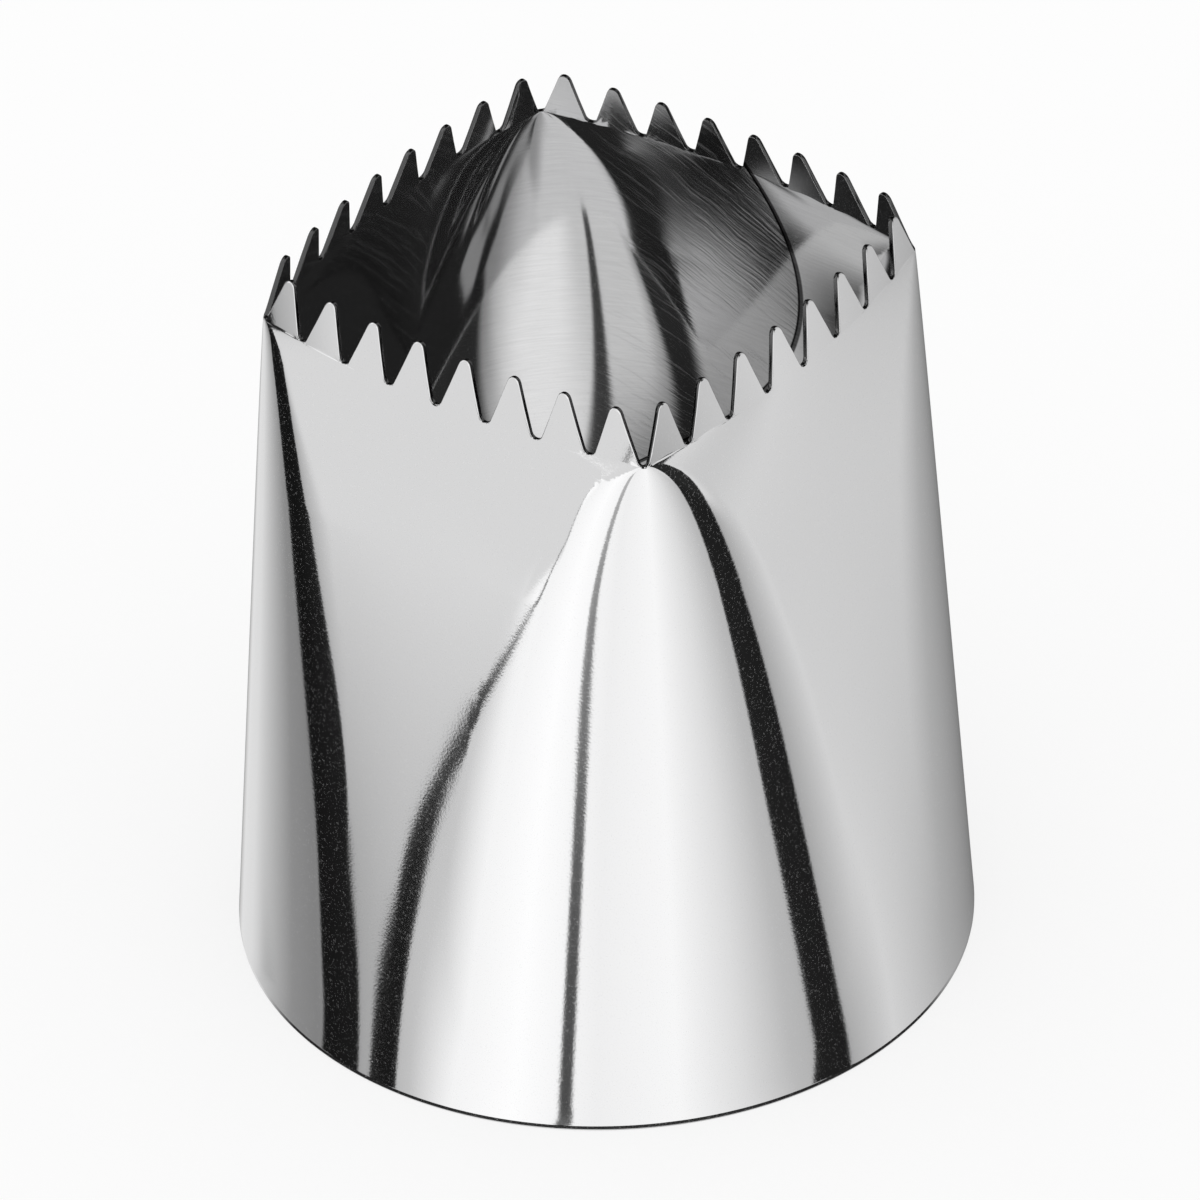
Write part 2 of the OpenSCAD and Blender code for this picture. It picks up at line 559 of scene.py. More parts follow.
    def _reach(self, x: np.ndarray, y: np.ndarray, z: np.ndarray) -> tuple[np.ndarray, ...]:
        """Where points of a half side stand in plan.

        Args:
            x: Distance of each from the axis, square to the side.
            y: Distance of each from the middle of the side.
            z: Height of each.

        Returns:
            The x and y of the direction in which each faces, and how far outside the wall it lies.
        """
        flat, rounding, centre, side_r, turn = self.plan(z)
        on_side = np.arctan2(y, x - flat + side_r) <= turn
        out_x = x - np.where(on_side, flat - side_r, centre)
        out_y = y - np.where(on_side, 0.0, centre)
        length = np.hypot(out_x, out_y)
        return out_x / length, out_y / length, length - np.where(on_side, side_r, rounding)

    def tooth_outline(self, steps: tuple[int, ...]) -> list[tuple[float, float]]:
        """Outline of one tooth, from the middle of a notch to just before the middle of the next.

        Args:
            steps: Steps in the first half notch, flank and half tip, then in the second half tip, flank
                and half notch.

        Returns:
            Pairs of place along the pitch, from 0 to 1, and height above the notch bottom.
        """
        pitch = 2.0 * float(self.half_side(np.array(self.root_z))) / self.teeth
        rise = self.tooth_h - self.tip_r - self.root_r
        gap = math.hypot(pitch / 2.0, rise)
        turn = math.pi / 2.0 - math.acos((self.tip_r + self.root_r) / gap) + math.atan2(rise, pitch / 2.0)

        def half(notch_steps: int, flank_steps: int, tip_steps: int) -> list[tuple[float, float]]:
            """The rising half of the outline, from the middle of a notch to the tip."""
            notch = np.linspace(0.0, turn, notch_steps + 1)
            tip = np.linspace(turn, 0.0, tip_steps + 1)
            along = np.concatenate([self.root_r * np.sin(notch), pitch / 2.0 - self.tip_r * np.sin(tip)])
            up = np.concatenate(
                [self.root_r * (1.0 - np.cos(notch)), self.tooth_h - self.tip_r * (1.0 - np.cos(tip))]
            )
            shares = np.arange(1, flank_steps) / flank_steps
            flank_along = along[notch_steps] + shares * (along[notch_steps + 1] - along[notch_steps])
            flank_up = up[notch_steps] + shares * (up[notch_steps + 1] - up[notch_steps])
            return list(
                zip(
                    np.insert(along, notch_steps + 1, flank_along) / pitch,
                    np.insert(up, notch_steps + 1, flank_up),
                )
            )

        rising = half(*steps[:3])
        falling = half(*reversed(steps[3:]))
        return rising + [(1.0 - along, up) for along, up in reversed(falling[1:-1])]


@dataclass
class NozzleShell:
    """The whole nozzle: one sheet, from the straight band at its base to the toothed edge.

    Attributes:
        form: The shape of its outer face.
        plain_steps: Steps of a tooth's outline: half notch, flank, half tip, half tip, flank, half notch.
        corner_steps: The same for a tooth that starts at a corner, where the wall bends.
        wall_rows: Rows of faces from the base to just below the notches.
        tooth_shares: Heights of the toothed rows, as shares of the way from the collar to the edge.
        band_share: Height of the lowest row, as a share of the straight band at the base.
        edge_round: Width of the rounding along the outer side of the cut edge.
        inner_share: Width of the rounding along the inner side, as a share of the outer one.
        edge_steps: Rows of faces in each rounding.
        smooth_spread: Largest angle between facets that are shaded as one, in radians.
        face_spread: Largest angle between the form and a facet that is shaded by it, in radians.
    """

    form: NozzleForm
    plain_steps: tuple[int, ...] = (3, 2, 3, 3, 2, 3)
    corner_steps: tuple[int, ...] = (6, 8, 4, 3, 2, 3)
    wall_rows: int = 62
    tooth_shares: tuple[float, ...] = (0.0, 0.04, 0.25, 0.5, 0.75, 1.0)
    band_share: float = 0.8
    edge_round: float = 0.13 * MM
    inner_share: float = 0.25
    edge_steps: int = 4
    smooth_spread: float = math.radians(40.0)
    face_spread: float = math.radians(8.0)

    def build(self) -> bpy.types.Object:
        """Models the sheet and gives it its thickness and cut edge.

        Returns:
            The finished piece, at the origin.
        """
        side = self._side_columns()
        columns = NozzleForm.SIDES * len(side)
        heights = self._wall_heights()
        rows = len(heights) + len(self.tooth_shares) - 2
        shell = self._tube(columns, rows)
        self._form(shell, side, heights, rows)
        self._thicken(shell)
        return shell

    def _side_columns(self) -> list[tuple[float, float]]:
        """Columns of points along one side, as place from -1 to 1 and height above the notch bottoms."""
        plain = self.form.tooth_outline(self.plain_steps)
        first = self.form.tooth_outline(self.corner_steps)
        last = self.form.tooth_outline(tuple(reversed(self.corner_steps)))
        teeth = [first] + [plain] * (self.form.teeth - 2) + [last]
        return [
            (-1.0 + 2.0 * (number + along) / self.form.teeth, up)
            for number, tooth in enumerate(teeth)
            for along, up in tooth
        ]

    def _wall_heights(self) -> np.ndarray:
        """Heights of the rows below the teeth, closer together towards the outlet."""
        band = self.form.band_h
        foot = np.array([0.0, self.band_share * band, band])
        shares = 1.0 - (1.0 - np.arange(1, self.wall_rows) / self.wall_rows) ** 2
        return np.concatenate([foot, band + shares * (self.form.root_z - self.form.crease_drop - band)])

    def _tube(self, columns: int, rows: int) -> bpy.types.Object:
        """Adds an open tube and divides its wall into rows.

        Args:
            columns: Points round it.
            rows: Rows of faces up its wall.

        Returns:
            The tube, standing on the origin.
        """
        bpy.ops.object.select_all(action="DESELECT")
        bpy.ops.mesh.primitive_cylinder_add(
            vertices=columns,
            radius=self.form.base_r,
            depth=self.form.top_z,
            end_fill_type="NOTHING",
            location=(0.0, 0.0, self.form.top_z / 2.0),
        )
        tube = bpy.context.object
        tube.name = tube.data.name = "nozzle_sheet"
        bpy.ops.object.transform_apply(location=True, rotation=True, scale=True)
        mesh = tube.data
        bpy.ops.object.mode_set(mode="EDIT")
        bpy.ops.mesh.select_mode(type="EDGE")
        bpy.ops.mesh.select_all(action="DESELECT")
        bpy.ops.object.mode_set(mode="OBJECT")
        for edge in mesh.edges:
            low, high = (mesh.vertices[index].co.z for index in edge.vertices)
            edge.select = abs(high - low) > self.form.top_z / 2.0
        bpy.ops.object.mode_set(mode="EDIT")
        bpy.ops.mesh.subdivide(number_cuts=rows - 1)
        bpy.ops.object.mode_set(mode="OBJECT")
        return tube

    def _form(
        self, shell: bpy.types.Object, side_columns: list[tuple[float, float]], heights: np.ndarray, rows: int
    ) -> None:
        """Presses the tube's wall to the nozzle's form and cuts the teeth into its edge.

        Args:
            shell: The divided tube.
            side_columns: Columns of points along one side.
            heights: Heights of the rows below the teeth.
            rows: Rows of faces in the tube.
        """
        count = len(shell.data.vertices)
        flat = np.empty(count * 3)
        shell.data.vertices.foreach_get("co", flat)
        spots = flat.reshape(-1, 3)
        bearing = np.arctan2(spots[:, 1], spots[:, 0])
        columns = NozzleForm.SIDES * len(side_columns)
        half_side = columns / (2.0 * NozzleForm.SIDES)
        column = np.rint(bearing / (2.0 * math.pi) * columns + half_side).astype(int) % columns
        row = np.rint(spots[:, 2] / self.form.top_z * rows).astype(int)
        side, step = column // len(side_columns), column % len(side_columns)
        place, up = (np.array(values)[step] for values in zip(*side_columns))
        edge_z = self.form.root_z + up
        first = len(heights) - 1
        share = np.array(self.tooth_shares)[np.clip(row - first, 0, None)]
        low = heights[np.minimum(row, first)]
        z = np.where(row <= first, low, low + share * (edge_z - low))
        shell.data.vertices.foreach_set("co", self.form.points(side, place, z).ravel())
        shell.data.update()
        bpy.ops.object.mode_set(mode="EDIT")
        bpy.ops.mesh.select_all(action="SELECT")
        bpy.ops.mesh.normals_make_consistent(inside=False)
        bpy.ops.object.mode_set(mode="OBJECT")

    def _thicken(self, shell: bpy.types.Object) -> None:
        """Gives the sheet its thickness inwards, rounds its cut edges and smooths its shading.

        Args:
            shell: The formed tube, which has no thickness yet.
        """
        for _ in Finish:
            shell.data.materials.append(None)
        solid = shell.modifiers.new("sheet", "SOLIDIFY")
        solid.thickness = self.form.sheet_t
        solid.offset = -1.0
        solid.use_even_offset = True
        solid.use_quality_normals = True
        solid.material_offset = Finish.INSIDE.value
        solid.material_offset_rim = Finish.CUT_EDGE.value
        bpy.ops.object.modifier_apply(modifier=solid.name)
        self._seat_inner_face(shell.data)
        self._weigh_cut_edges(shell.data)
        bevel = shell.modifiers.new("edges", "BEVEL")
        bevel.width = self.edge_round
        bevel.segments = self.edge_steps
        bevel.limit_method = "WEIGHT"
        bevel.use_clamp_overlap = False
        bevel.harden_normals = True
        bpy.ops.object.modifier_apply(modifier=bevel.name)
        bpy.ops.object.shade_smooth_by_angle(angle=self.smooth_spread)
        self._shade_by_form(shell.data)

    def _seat_inner_face(self, mesh: bpy.types.Mesh) -> None:
        """Sets the inner face one sheet thickness inside the outer one, square to the form.

        Args:
            mesh: The thickened sheet, whose first half of points is the outer face.
        """
        spots = np.empty(len(mesh.vertices) * 3)
        mesh.vertices.foreach_get("co", spots)
        outer = spots.reshape(2, -1, 3)[0]
        above = outer[:, 2] > self.form.root_z - self.form.crease_drop - self.form.feel
        inner = outer - self.form.sheet_t * self.form.facing(outer, above)
        inner[:, 2] = np.where(outer[:, 2] < self.form.feel, 0.0, inner[:, 2])
        mesh.vertices.foreach_set("co", np.concatenate([outer, inner]).ravel())
        mesh.update()

    def _shade_by_form(self, mesh: bpy.types.Mesh) -> None:
        """Turns the shading of both faces along the form, and leaves the rounded edges as they are.

        Args:
            mesh: The sheet with its rounded edges.
        """
        count = len(mesh.polygons)
        size, finish = np.empty(count, int), np.empty(count, int)
        middle, facet = np.empty(count * 3), np.empty(count * 3)
        mesh.polygons.foreach_get("loop_total", size)
        mesh.polygons.foreach_get("material_index", finish)
        mesh.polygons.foreach_get("center", middle)
        mesh.polygons.foreach_get("normal", facet)
        middle, facet = middle.reshape(-1, 3), facet.reshape(-1, 3)
        crease_z = self.form.root_z - self.form.crease_drop
        above = middle[:, 2] > crease_z
        outward = np.where(finish == Finish.INSIDE.value, -1.0, 1.0)[:, None]
        close = (facet * self.form.facing(middle, above) * outward).sum(axis=1) > math.cos(self.face_spread)
        on_wall = (middle[:, 2] > self.form.band_h) & ~above
        on_face = (finish != Finish.CUT_EDGE.value) & (close | on_wall)
        owner = np.repeat(np.arange(count), size)
        vertex = np.empty(len(owner), int)
        spots, shading = np.empty(len(mesh.vertices) * 3), np.empty(len(owner) * 3)
        mesh.loops.foreach_get("vertex_index", vertex)
        mesh.vertices.foreach_get("co", spots)
        mesh.corner_normals.foreach_get("vector", shading)
        true = self.form.facing(spots.reshape(-1, 3)[vertex], above[owner]) * outward[owner]
        mesh.normals_split_custom_set(np.where(on_face[owner][:, None], true, shading.reshape(-1, 3)))

    def _weigh_cut_edges(self, mesh: bpy.types.Mesh) -> None:
        """Marks the edges that bound the cut face, to be rounded by different widths.

        Args:
            mesh: The thickened sheet.
        """
        beside: dict[tuple[int, int], set[int]] = {}
        for face in mesh.polygons:
            for key in face.edge_keys:
                beside.setdefault(key, set()).add(face.material_index)
        outer = {Finish.OUTSIDE.value, Finish.CUT_EDGE.value}
        inner = {Finish.INSIDE.value, Finish.CUT_EDGE.value}
        weights = mesh.attributes.new("bevel_weight_edge", "FLOAT", "EDGE")
        for edge in mesh.edges:
            finishes = beside.get(edge.key, set())
            weights.data[edge.index].value = (finishes == outer) + self.inner_share * (finishes == inner)

    def dress(self, shell: bpy.types.Object, finishes: dict[Finish, PolishedSteel]) -> None:
        """Gives each part of the sheet its finish."""
        for finish, steel in finishes.items():
            shell.data.materials[finish.value] = steel.material()


@dataclass(frozen=True)
class Flag:
    """A dark card that stands round the nozzle and shows in its polish.

    Attributes:
        corners: The card's corners from low to high: elevation, then the bearing of its left and right side
            there, in degrees. They are thinned and rounded from edges that a scratch program measured in
            the photo, then moved by hand.
        depth: Share of the light that it takes, at its foot and at its top.
        soft: Width of its soft edges, in degrees.
        curved: Whether its sides run as curves rather than straight from corner to corner.
        fade: Between what shares of its height the one depth turns into the other.
    """

    corners: tuple[tuple[float, float, float], ...]
    depth: tuple[float, float] = (0.97, 0.97)
    soft: float = 1.2
    curved: bool = True
    fade: Step = Step(0.3, 0.9)

    def cover(self, bench: NodeBench, bearing: Signal, elevation: Signal) -> Signal:
        """Share of the light that the card takes.

        Args:
            bench: The world's tree.
            bearing: Bearing from the camera's.
            elevation: Elevation.

        Returns:
            The share in that direction, from 0 to 1.
        """
        low, high = self.corners[0][0], self.corners[-1][0]
        climb = (elevation - low) / (high - low)
        stops = [
            ((level - low) / (high - low), (left / FULL_TURN + 0.5, right / FULL_TURN + 0.5, 0.0))
            for level, left, right in self.corners
        ]
        left, right, _ = bench.channels(bench.ramp(climb, stops, smooth=self.curved))
        half = self.soft / 2.0
        ends = (elevation - low).between(-half, half) * (elevation - high).between(half, -half)
        past_left = (bearing - (left - 0.5) * FULL_TURN).between(-half, half)
        past_right = (bearing - (right - 0.5) * FULL_TURN).between(half, -half)
        foot, top = self.depth
        return past_left * past_right * ends * (foot + self.fade.of(climb) * (top - foot))


RIGHT_FLAG = Flag(
    (
        (-35.0, 69.5, 80.0), (-30.5, 68.0, 79.5), (-27.5, 60.0, 74.0), (-19.0, 60.5, 76.5),
        (-12.0, 50.0, 78.5), (-2.0, 46.0, 79.0), (4.0, 46.0, 80.0),
    )
)
LEFT_FLAG = Flag(
    (
        (-35.0, -94.0, -82.0), (-29.0, -94.5, -80.5), (-27.5, -105.0, -80.5), (-26.0, -117.0, -78.5),
        (-23.5, -113.5, -75.0), (-22.0, -112.0, -91.5), (-19.0, -110.0, -92.0), (-11.0, -105.5, -87.5),
        (0.0, -100.5, -82.5), (28.0, -99.0, -91.0), (50.0, -99.0, -91.0),
    )
)
FRONT_FLAG = Flag(
    (
        (-35.0, -79.0, -69.5), (-30.0, -80.5, -69.5), (-27.0, -75.0, -66.5), (-25.0, -69.5, -65.0),
        (-22.5, -66.5, -65.3), (-21.2, -66.0, -63.3), (-20.6, -66.0, -57.0), (-20.2, -64.0, -52.0),
        (-19.9, -53.0, -50.5), (-18.9, -49.8, -48.7), (-16.3, -46.6, -46.1), (-5.5, -52.6, -52.2),
    ),
    depth=(0.98, 0.7),
    soft=0.5,
    curved=False,
)
THIN_FLAG = Flag(
    (
        (-35.0, -17.5, -13.5), (-30.0, -17.0, -13.0), (-27.5, -15.0, -10.5), (-25.0, -21.5, -18.0),
        (-22.5, -16.0, -9.5), (-18.0, -12.0, -6.0),
    ),
    depth=(0.93, 0.5),
    soft=1.4,
)
EDGE_FLAG = Flag(((-7.0, 90.0, 99.0), (2.0, 88.0, 105.0), (50.0, 84.0, 110.0)), soft=4.0)


@dataclass(frozen=True)
class Room:
    """What the polish shows all round the nozzle, by bearing from the camera's and elevation, in degrees.

    It has a white sweep whose tone changes with the bearing and is lifted on the left, a wall behind the
    camera with light above it, dark cards, and a dark far end, ceiling and edge of the floor. The wall's
    left edge leans by line_lean for each degree that it climbs, up to line_top. The sweep's tones are
    thinned from the photo's brightness by direction, as a scratch program printed it, and adjusted by hand.
    """

    sweep: tuple[tuple[float, float], ...] = (
        (-180.0, 0.15), (-160.0, 0.8), (-145.0, 0.78), (-112.0, 0.3), (-98.0, 0.25), (-75.0, 0.44),
        (-62.0, 0.58), (-48.0, 1.05), (-30.0, 1.15), (-5.0, 1.0), (20.0, 1.08), (40.0, 0.83),
        (57.0, 0.56), (76.0, 0.44), (94.0, 0.74), (125.0, 0.46), (180.0, 0.15),
    )
    left: Both = Both(Step(-100.0, -85.0), Step(-46.0, -54.0))
    left_lift: Step = Step(-30.0, -12.0, 0.32)
    front: Step = Step(92.0, 78.0)
    wall: float = 0.78
    line: float = -46.3
    line_level: float = -16.0
    line_top: float = -5.0
    line_lean: float = 0.56
    line_edge: Step = Step(0.5, -0.5)
    wall_right: Step = Step(30.0, 50.0)
    ledge: Both = Both(Step(-4.8, -4.55), Step(-15.0, -25.0))
    wall_foot: Step = Step(-19.0, -14.0)
    near_foot: Step = Step(-18.4, -17.2)
    near: Both = Both(Step(-62.0, -58.0), Step(30.0, 20.0))
    light: float = 1.1
    light_place: Both = Both(Step(2.0, 12.0), Step(-60.0, -64.0))
    back: Both = Both(Step(138.0, 152.0), Step(-4.0, 3.0))
    ceiling: Step = Step(60.0, 75.0)
    floor_edge: Both = Both(Step(-33.5, -35.0), Step(-42.0, -39.0))
    floor_edge_side: Step = Step(140.0, 115.0)
    dark: float = 0.02
    flags: tuple[Flag, ...] = (RIGHT_FLAG, LEFT_FLAG, FRONT_FLAG, THIN_FLAG, EDGE_FLAG)

    def tone(self, bench: NodeBench, bearing: Signal, elevation: Signal) -> Signal:
        """Brightness of the room.

        Args:
            bench: The world's tree.
            bearing: Bearing from the camera's.
            elevation: Elevation.

        Returns:
            The brightness in that direction.
        """
        stops = [(place / FULL_TURN + 0.5, (tone, tone, tone)) for place, tone in self.sweep]
        sweep, _, _ = bench.channels(bench.ramp(bearing / FULL_TURN + 0.5, stops))
        tone = sweep + self.left.of(bearing, bearing) * self.left_lift.of(elevation)
        aside = abs(bearing)
        front = self.front.of(aside)
        tone = tone.toward(self.wall, front * self._wall(bench, bearing, elevation))
        tone = tone.toward(self.light, front * self.light_place.of(elevation, bearing))
        for flag in self.flags:
            tone = tone.without(flag.cover(bench, bearing, elevation))
        dark = bench.larger(self.back.of(aside, elevation), self.ceiling.of(elevation))
        edge = self.floor_edge.of(elevation, elevation) * self.floor_edge_side.of(aside)
        return tone.toward(self.dark, bench.larger(dark, edge))

    def _wall(self, bench: NodeBench, bearing: Signal, elevation: Signal) -> Signal:
        """Share of the front wall.

        Args:
            bench: The world's tree.
            bearing: Bearing from the camera's.
            elevation: Elevation.

        Returns:
            How much of it shows in that direction, from 0 to 1.
        """
        climb = bench.smaller(elevation, self.line_top) - self.line_level
        line = self.line - climb * self.line_lean
        beside = self.line_edge.of(bearing - line) + self.wall_right.of(bearing)
        near = self.near.of(bearing, bearing)
        foot = self.wall_foot.of(elevation).toward(self.near_foot.of(elevation), near)
        return bench.larger(beside, self.ledge.of(elevation, bearing)) * foot


@dataclass(frozen=True)
class FootGlow:
    """Painted light and shade on the floor under the nozzle, as the polish of the wall's inside shows it.

    Places are in millimetres from the axis: right and left as the camera sees them, and away from it. The
    first reflection shows a pool of light, crossed by a dark streak, with a dusk before its far line and a
    gray patch beyond. Later ones show a bright ring, and on the right a fan of light crossed by a stripe.
    The places and tones were set by hand from the photo's brightness at each spot, printed the same way.
    """

    pool: float = 0.66
    pool_right: Step = Step(-8.0, 6.0, 0.26)
    pool_end: Step = Step(14.0, 28.0, 0.24)
    streak: Step = Step(2.9, 1.2, 0.93)
    streak_line: tuple[float, float, float] = (-3.0, 0.325, -0.0055)
    far_line: float = 6.3
    far_slant: float = 0.2
    far: Step = Step(-1.8, 1.4)
    bend_r: float = 14.2
    bend_power: float = 3.6
    dusk: Step = Step(-7.0, -1.0, 0.35)
    right_dusk: Both = Both(Step(-14.0, -1.0, 0.4), Step(8.0, 20.0))
    shade: float = 0.025
    patch: Both = Both(Step(15.0, 18.0), Step(10.5, 15.5, 0.52))
    twice: Step = Step(1.4, 1.6)
    thrice: Both = Both(Step(2.4, 2.6), Step(-5.0, 5.0))
    deep_shade: float = 0.02
    ring_centre: tuple[float, float] = (-1.0, 8.0)
    ring_narrows: Step = Step(13.0, 3.0, 6.0)
    ring_inner: Step = Step(26.2, 27.8, 0.38)
    ring_outer: Step = Step(28.5, 35.0, 0.45)
    ring_line: float = 8.3
    ring_right: Step = Step(0.0, 8.0, 20.0)
    ring_far: Step = Step(1.4, -1.8)
    ring_gap: Both = Both(Step(-4.0, 0.0), Step(27.2, 28.4))
    fan: float = 0.3
    fan_near: Step = Step(-4.0, -22.0, 0.45)
    fan_side: Step = Step(13.0, 16.0)
    fan_end: Step = Step(7.2, 5.8)
    fan_inner: Both = Both(Step(-3.0, -1.0), Step(23.8, 22.5))
    fan_widens: Step = Step(4.0, 7.5, 1.5)
    fan_outer: Both = Both(Step(-2.5, 0.0), Step(25.8, 27.0))
    stripe: Both = Both(Step(1.6, 0.8), Step(-17.0, -4.0))
    stripe_line: tuple[float, float] = (25.5, 0.5)
    stripe_knee: tuple[float, float] = (-5.0, 0.5)
    wedge: Both = Both(Step(-0.4, 3.0, 0.6), Step(15.0, 18.0))
    wedge_corner: tuple[float, float] = (22.0, 9.0)
    wedge_lean: float = 1.5
    wedge_gap: Both = Both(Step(22.0, 20.5), Step(18.0, 14.0))

    def tone(self, bench: NodeBench, right: Signal, away: Signal) -> Signal:
        """Painted brightness of the floor.

        Args:
            bench: The material's tree.
            right: How far right the place is.
            away: How far away it is.

        Returns:
            The painted brightness, high where light falls in through the outlet.
        """
        left = bench.larger(0.0 - right, 0.0)
        bend = (left / self.bend_r) ** self.bend_power
        bounces = Signal(bench, bench.add("ShaderNodeLightPath").outputs["Ray Depth"])
        past = away - self.far_line + bend + bench.larger(right, 0.0) * self.far_slant
        once = self._pool(right, away, past).toward(self.shade + self.patch.of(left, away), self.far.of(past))
        ring = self._ring(bench, right, away, bend)
        ring = ring.toward(self._fan(bench, right, away), self.fan_side.of(right))
        ring = ring.without(self.thrice.of(bounces, right))
        corner_left, corner_away = self.wedge_corner
        wedge = self.wedge.of(away - corner_away - (left - corner_left) * self.wedge_lean, left)
        wedge = wedge.without(self.wedge_gap.of(left, away))
        return once.toward(self.deep_shade + ring + wedge, self.twice.of(bounces))

    def _pool(self, right: Signal, away: Signal, past: Signal) -> Signal:
        """The painted pool of light.

        Args:
            right: How far right the place is.
            away: How far away it is.
            past: How far past the pool's far line it is.

        Returns:
            The pool's brightness there.
        """
        pool = self.pool + self.pool_right.of(right) - self.pool_end.of(right)
        start, slope, curve = self.streak_line
        streak_at = start + away * slope + away * away * curve
        pool = pool.without(self.streak.of(abs(right - streak_at)))
        return pool.without(self.dusk.of(past)).without(self.right_dusk.of(past, right))

    def _ring(self, bench: NodeBench, right: Signal, away: Signal, bend: Signal) -> Signal:
        """The painted bright ring.

        Args:
            bench: The material's tree.
            right: How far right the place is.
            away: How far away it is.
            bend: How much nearer the ring ends there.

        Returns:
            What it adds to the brightness.
        """
        middle_right, middle_away = self.ring_centre
        reach = bench.distance(right - middle_right, away - middle_away) + self.ring_narrows.of(right)
        ring = self.ring_inner.of(reach) + self.ring_outer.of(reach)
        ring = ring * self.ring_far.of(away - self.ring_line + bend - self.ring_right.of(right))
        return ring.without(self.ring_gap.of(away, bench.distance(right, away)))

    def _fan(self, bench: NodeBench, right: Signal, away: Signal) -> Signal:
        """The painted fan of light on the right.

        Args:
            bench: The material's tree.
            right: How far right the place is.
            away: How far away it is.

        Returns:
            What it adds to the brightness.
        """
        out = bench.distance(right, away)
        line, slant = self.stripe_line
        knee, turn = self.stripe_knee
        beyond = right - line - away * slant - bench.smaller(away - knee, 0.0) * turn
        fan = (self.fan + self.fan_near.of(away)).without(self.stripe.of(abs(beyond), away))
        fan = fan.without(self.fan_inner.of(away, out - self.fan_widens.of(away)))
        return fan.without(self.fan_outer.of(away, out)) * self.fan_end.of(away)


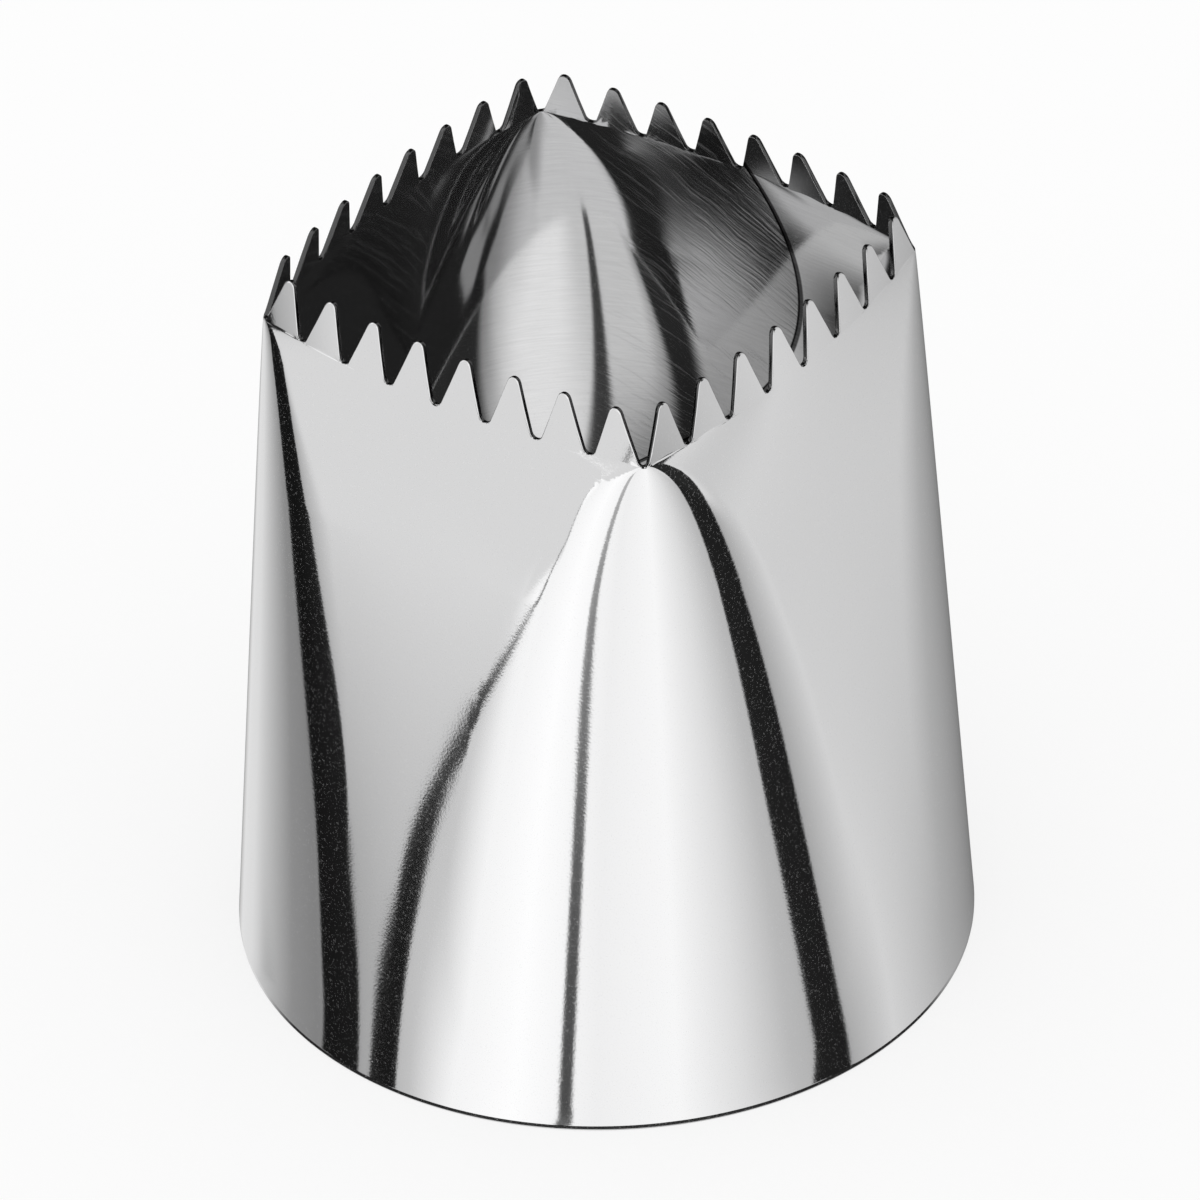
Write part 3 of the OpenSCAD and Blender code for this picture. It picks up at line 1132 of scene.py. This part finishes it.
@dataclass
class Studio:
    """The floor, the light and the camera.

    The camera stands at a bearing and an elevation, with a roll, all in degrees, at a distance from its
    target. Its focal length is in pixels of the photograph's frame. The camera sees shadow_share of the
    floor's shading. The foot is the round patch of floor that the inside of the nozzle reflects, with light
    and shade painted on it.
    """

    stand: float = -53.27
    climb: float = 35.52
    roll: float = -1.47
    distance: float = 720.3 * MM
    target: tuple[float, float, float] = (0.07 * MM, 0.05 * MM, 30.06 * MM)
    frame_px: float = 1200.0
    focal_px: float = 9038.0
    nearest: float = 10.0 * MM
    floor_size: float = 6.0
    floor_white: float = 0.95
    shadow_share: float = 0.3
    foot_r: float = 29.55 * MM
    foot_lift: float = 0.02 * MM
    foot_corners: int = 96
    room: Room = Room()
    glow: FootGlow = FootGlow()

    def build(self) -> None:
        """Sets up the floor, the light and the camera."""
        self._floor()
        self._foot()
        self._world()
        self._camera()
        bpy.context.scene.view_settings.view_transform = "Standard"

    def _camera(self) -> None:
        """Places the camera at the photograph's view."""
        stand, climb, roll = (math.radians(angle) for angle in (self.stand, self.climb, self.roll))
        away = Vector((math.cos(climb) * math.cos(stand), math.cos(climb) * math.sin(stand), math.sin(climb)))
        level = Vector((-math.sin(stand), math.cos(stand), 0.0))
        upright = away.cross(level)
        right = math.cos(roll) * level + math.sin(roll) * upright
        up = math.cos(roll) * upright - math.sin(roll) * level
        lens = bpy.data.cameras.new("camera")
        lens.sensor_fit = "HORIZONTAL"
        lens.angle = 2.0 * math.atan(self.frame_px / 2.0 / self.focal_px)
        lens.clip_start = self.nearest
        camera = bpy.data.objects.new("camera", lens)
        turn = Matrix((right, up, away)).transposed().to_4x4()
        camera.matrix_world = Matrix.Translation(Vector(self.target) + self.distance * away) @ turn
        bpy.context.collection.objects.link(camera)
        bpy.context.scene.camera = camera

    def _floor(self) -> None:
        """Lays a plain pale floor that shows white and keeps a soft shadow."""
        bpy.ops.object.select_all(action="DESELECT")
        bpy.ops.mesh.primitive_plane_add(size=self.floor_size, location=(0.0, 0.0, 0.0))
        floor = bpy.context.object
        floor.name = "floor"
        floor.visible_glossy = False
        pale = bpy.data.materials.new("pale_floor")
        pale.use_nodes = True
        bench = NodeBench(pale.node_tree)
        tint = (self.floor_white, self.floor_white, self.floor_white, 1.0)
        white = bench.add("ShaderNodeEmission", None, {"Strength": 1.0}).outputs["Emission"]
        matt = bench.add("ShaderNodeBsdfDiffuse", None, {"Color": tint}).outputs["BSDF"]
        seen = Signal(bench, bench.add("ShaderNodeLightPath").outputs["Is Camera Ray"])
        share = seen * (1.0 - self.shadow_share)
        blend = bench.add("ShaderNodeMixShader", None, {"Fac": share, 1: matt, 2: white})
        bench.add("ShaderNodeOutputMaterial", None, {"Surface": blend.outputs["Shader"]})
        floor.data.materials.append(pale)

    def _foot(self) -> None:
        """Lays the patch under the nozzle that its inside reflects, painted as if lit through the outlet."""
        bpy.ops.object.select_all(action="DESELECT")
        bpy.ops.mesh.primitive_circle_add(
            vertices=self.foot_corners,
            radius=self.foot_r,
            fill_type="NGON",
            location=(0.0, 0.0, self.foot_lift),
        )
        foot = bpy.context.object
        foot.name = "floor_under_nozzle"
        foot.visible_camera = False
        foot.visible_diffuse = False
        foot.visible_shadow = False
        lit = bpy.data.materials.new("floor_painted_light_through_outlet")
        lit.use_nodes = True
        bench = NodeBench(lit.node_tree)
        x, y, _ = bench.channels(bench.add("ShaderNodeTexCoord").outputs["Object"])
        turn = math.radians(self.stand)
        right = (y * math.cos(turn) - x * math.sin(turn)) / MM
        away = (x * -math.cos(turn) - y * math.sin(turn)) / MM
        # The glow is painted light and shade, standing for light through the outlet.
        glow = bench.add("ShaderNodeEmission", None, {"Strength": self.glow.tone(bench, right, away)})
        bench.add("ShaderNodeOutputMaterial", None, {"Surface": glow.outputs["Emission"]})
        foot.data.materials.append(lit)

    def _world(self) -> None:
        """Lights the scene with plain white light, and shows the polish the room."""
        world = bpy.data.worlds.new("studio")
        bpy.context.scene.world = world
        world.use_nodes = True
        bench = NodeBench(world.node_tree)
        x, y, z = bench.channels(bench.add("ShaderNodeTexCoord").outputs["Generated"])
        elevation = bench.math("ARCSINE", z) * DEGREES
        turn = bench.math("ARCTAN2", y, x) * DEGREES
        bearing = bench.math("WRAP", turn - self.stand, FULL_TURN / 2.0, -FULL_TURN / 2.0)
        polish = Signal(bench, bench.add("ShaderNodeLightPath").outputs["Is Glossy Ray"])
        strength = polish * self.room.tone(bench, bearing, elevation) + (1.0 - polish)
        light = bench.add("ShaderNodeBackground", None, {"Color": WHITE, "Strength": strength})
        bench.add("ShaderNodeOutputWorld", None, {"Surface": light.outputs["Background"]})


FINISHES = {
    Finish.OUTSIDE: PolishedSteel(
        "steel_outside", reflectance=0.86, roughness=0.04, speckle=0.03, grain=0.001 * MM, dust=0.09
    ),
    Finish.INSIDE: PolishedSteel(
        "steel_inside",
        reflectance=0.84,
        roughness=0.05,
        speckle=0.03,
        grain=0.0002 * MM,
        brushing=0.0004 * MM,
        streaks=0.16,
        # Painted shade and scratches along a mark on the inside.
        shade_and_scratches=PaintedShadeAndScratches(),
    ),
    # The cut edge's low reflectance is painted shade that keeps its edges dark.
    Finish.CUT_EDGE: PolishedSteel(
        "steel_cut_edge", reflectance=0.12, roughness=0.08, speckle=0.1, grain=0.0005 * MM, dust=0.02
    ),
}


def main() -> None:
    """Builds the nozzle and its studio, and reports each piece."""
    logging.basicConfig(level=logging.INFO, format="%(name)s: %(message)s")
    Studio().build()
    low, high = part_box("nozzle_shell")
    base_r = min(high[0] - low[0], high[1] - low[1]) / 2.0
    nozzle = NozzleShell(NozzleForm(base_r=base_r, top_z=high[2]))
    shell = nozzle.build()
    nozzle.dress(shell, FINISHES)
    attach(shell, "root")
    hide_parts("nozzle_shell")
    triangles = sum(len(face.vertices) - 2 for face in shell.data.polygons)
    log.info("%s: %d triangles", shell.name, triangles)


if __name__ == "__main__":
    main()
